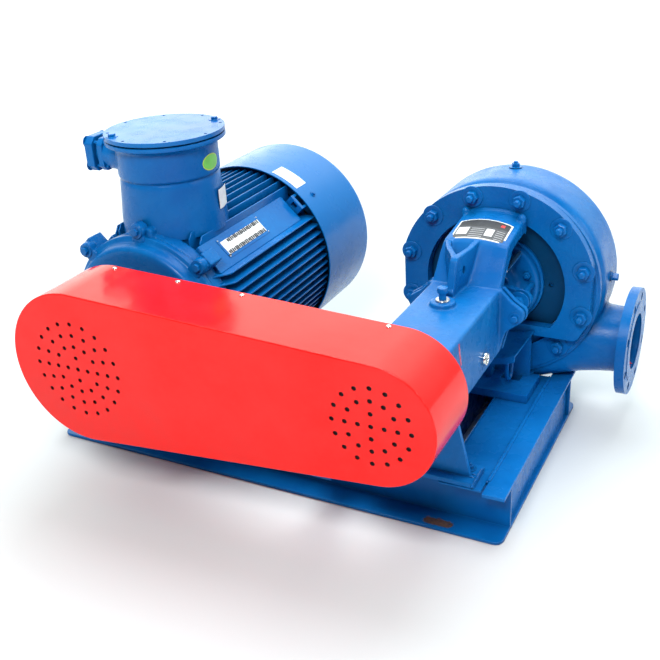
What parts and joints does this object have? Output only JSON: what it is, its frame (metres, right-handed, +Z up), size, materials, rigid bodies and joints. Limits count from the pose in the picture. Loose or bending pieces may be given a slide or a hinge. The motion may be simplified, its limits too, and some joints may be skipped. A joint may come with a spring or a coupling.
{
  "type": "shear pump set",
  "caption": "Volute shear pump driven by a finned flameproof motor through a guarded belt drive, all mounted on a welded channel steel base frame.",
  "frame": {"origin": "centre of the overall box's underside, on the floor below the base frame", "axes": "+X along the base from the motor to the discharge flange, +Y along the shafts away from the belt guard, +Z up"},
  "size_m": [1.429, 1.15, 0.856],
  "materials": {
    "blue_paint": "gloss",
    "blue_casting": "gloss blue paint over cast iron",
    "red_paint": "gloss",
    "bare_steel": "machined",
    "black_plastic": "matt",
    "belt_rubber": "matt"
  },
  "bodies": {
    "root": {"base_front_beam": "blue_paint", "base_rear_beam": "blue_paint", "base_side_beam_left": "blue_paint", "base_side_beam_right": "blue_paint", "base_middle_beam": "blue_paint", "pump_deck_left": "blue_paint", "pump_deck_right": "blue_paint", "motor_rail_front": "blue_paint", "motor_rail_rear": "blue_paint", "motor_frame": "blue_casting", "motor_foot_left": "blue_casting", "motor_foot_right": "blue_casting", "motor_end_shield_front": "blue_casting", "motor_end_shield_rear": "blue_casting", "motor_fan_cowl": "blue_paint", "motor_fan": "black_plastic", "motor_shaft": "bare_steel", "motor_nameplate": "bare_steel", "terminal_box_body": "blue_casting", "terminal_box_lid": "blue_casting", "cable_gland": "blue_casting", "guard_cover": "red_paint", "guard_back_plate": "red_paint", "guard_bracket_left": "blue_paint", "guard_bracket_right": "blue_paint", "motor_pulley": "bare_steel", "pump_pulley": "bare_steel", "drive_belt": "belt_rubber", "bearing_bracket": "blue_casting", "bearing_cover_front": "blue_casting", "bearing_cover_rear": "blue_casting", "oil_filler": "blue_casting", "oil_sight": "bare_steel", "pump_shaft": "bare_steel", "gland_follower": "blue_casting", "stuffing_box_cover": "blue_casting", "cover_ring": "blue_casting", "cradle_arm": "blue_casting", "pump_casing": "blue_casting", "pump_foot": "blue_casting", "pump_front_support": "blue_paint"}
  },
  "joints": []
}
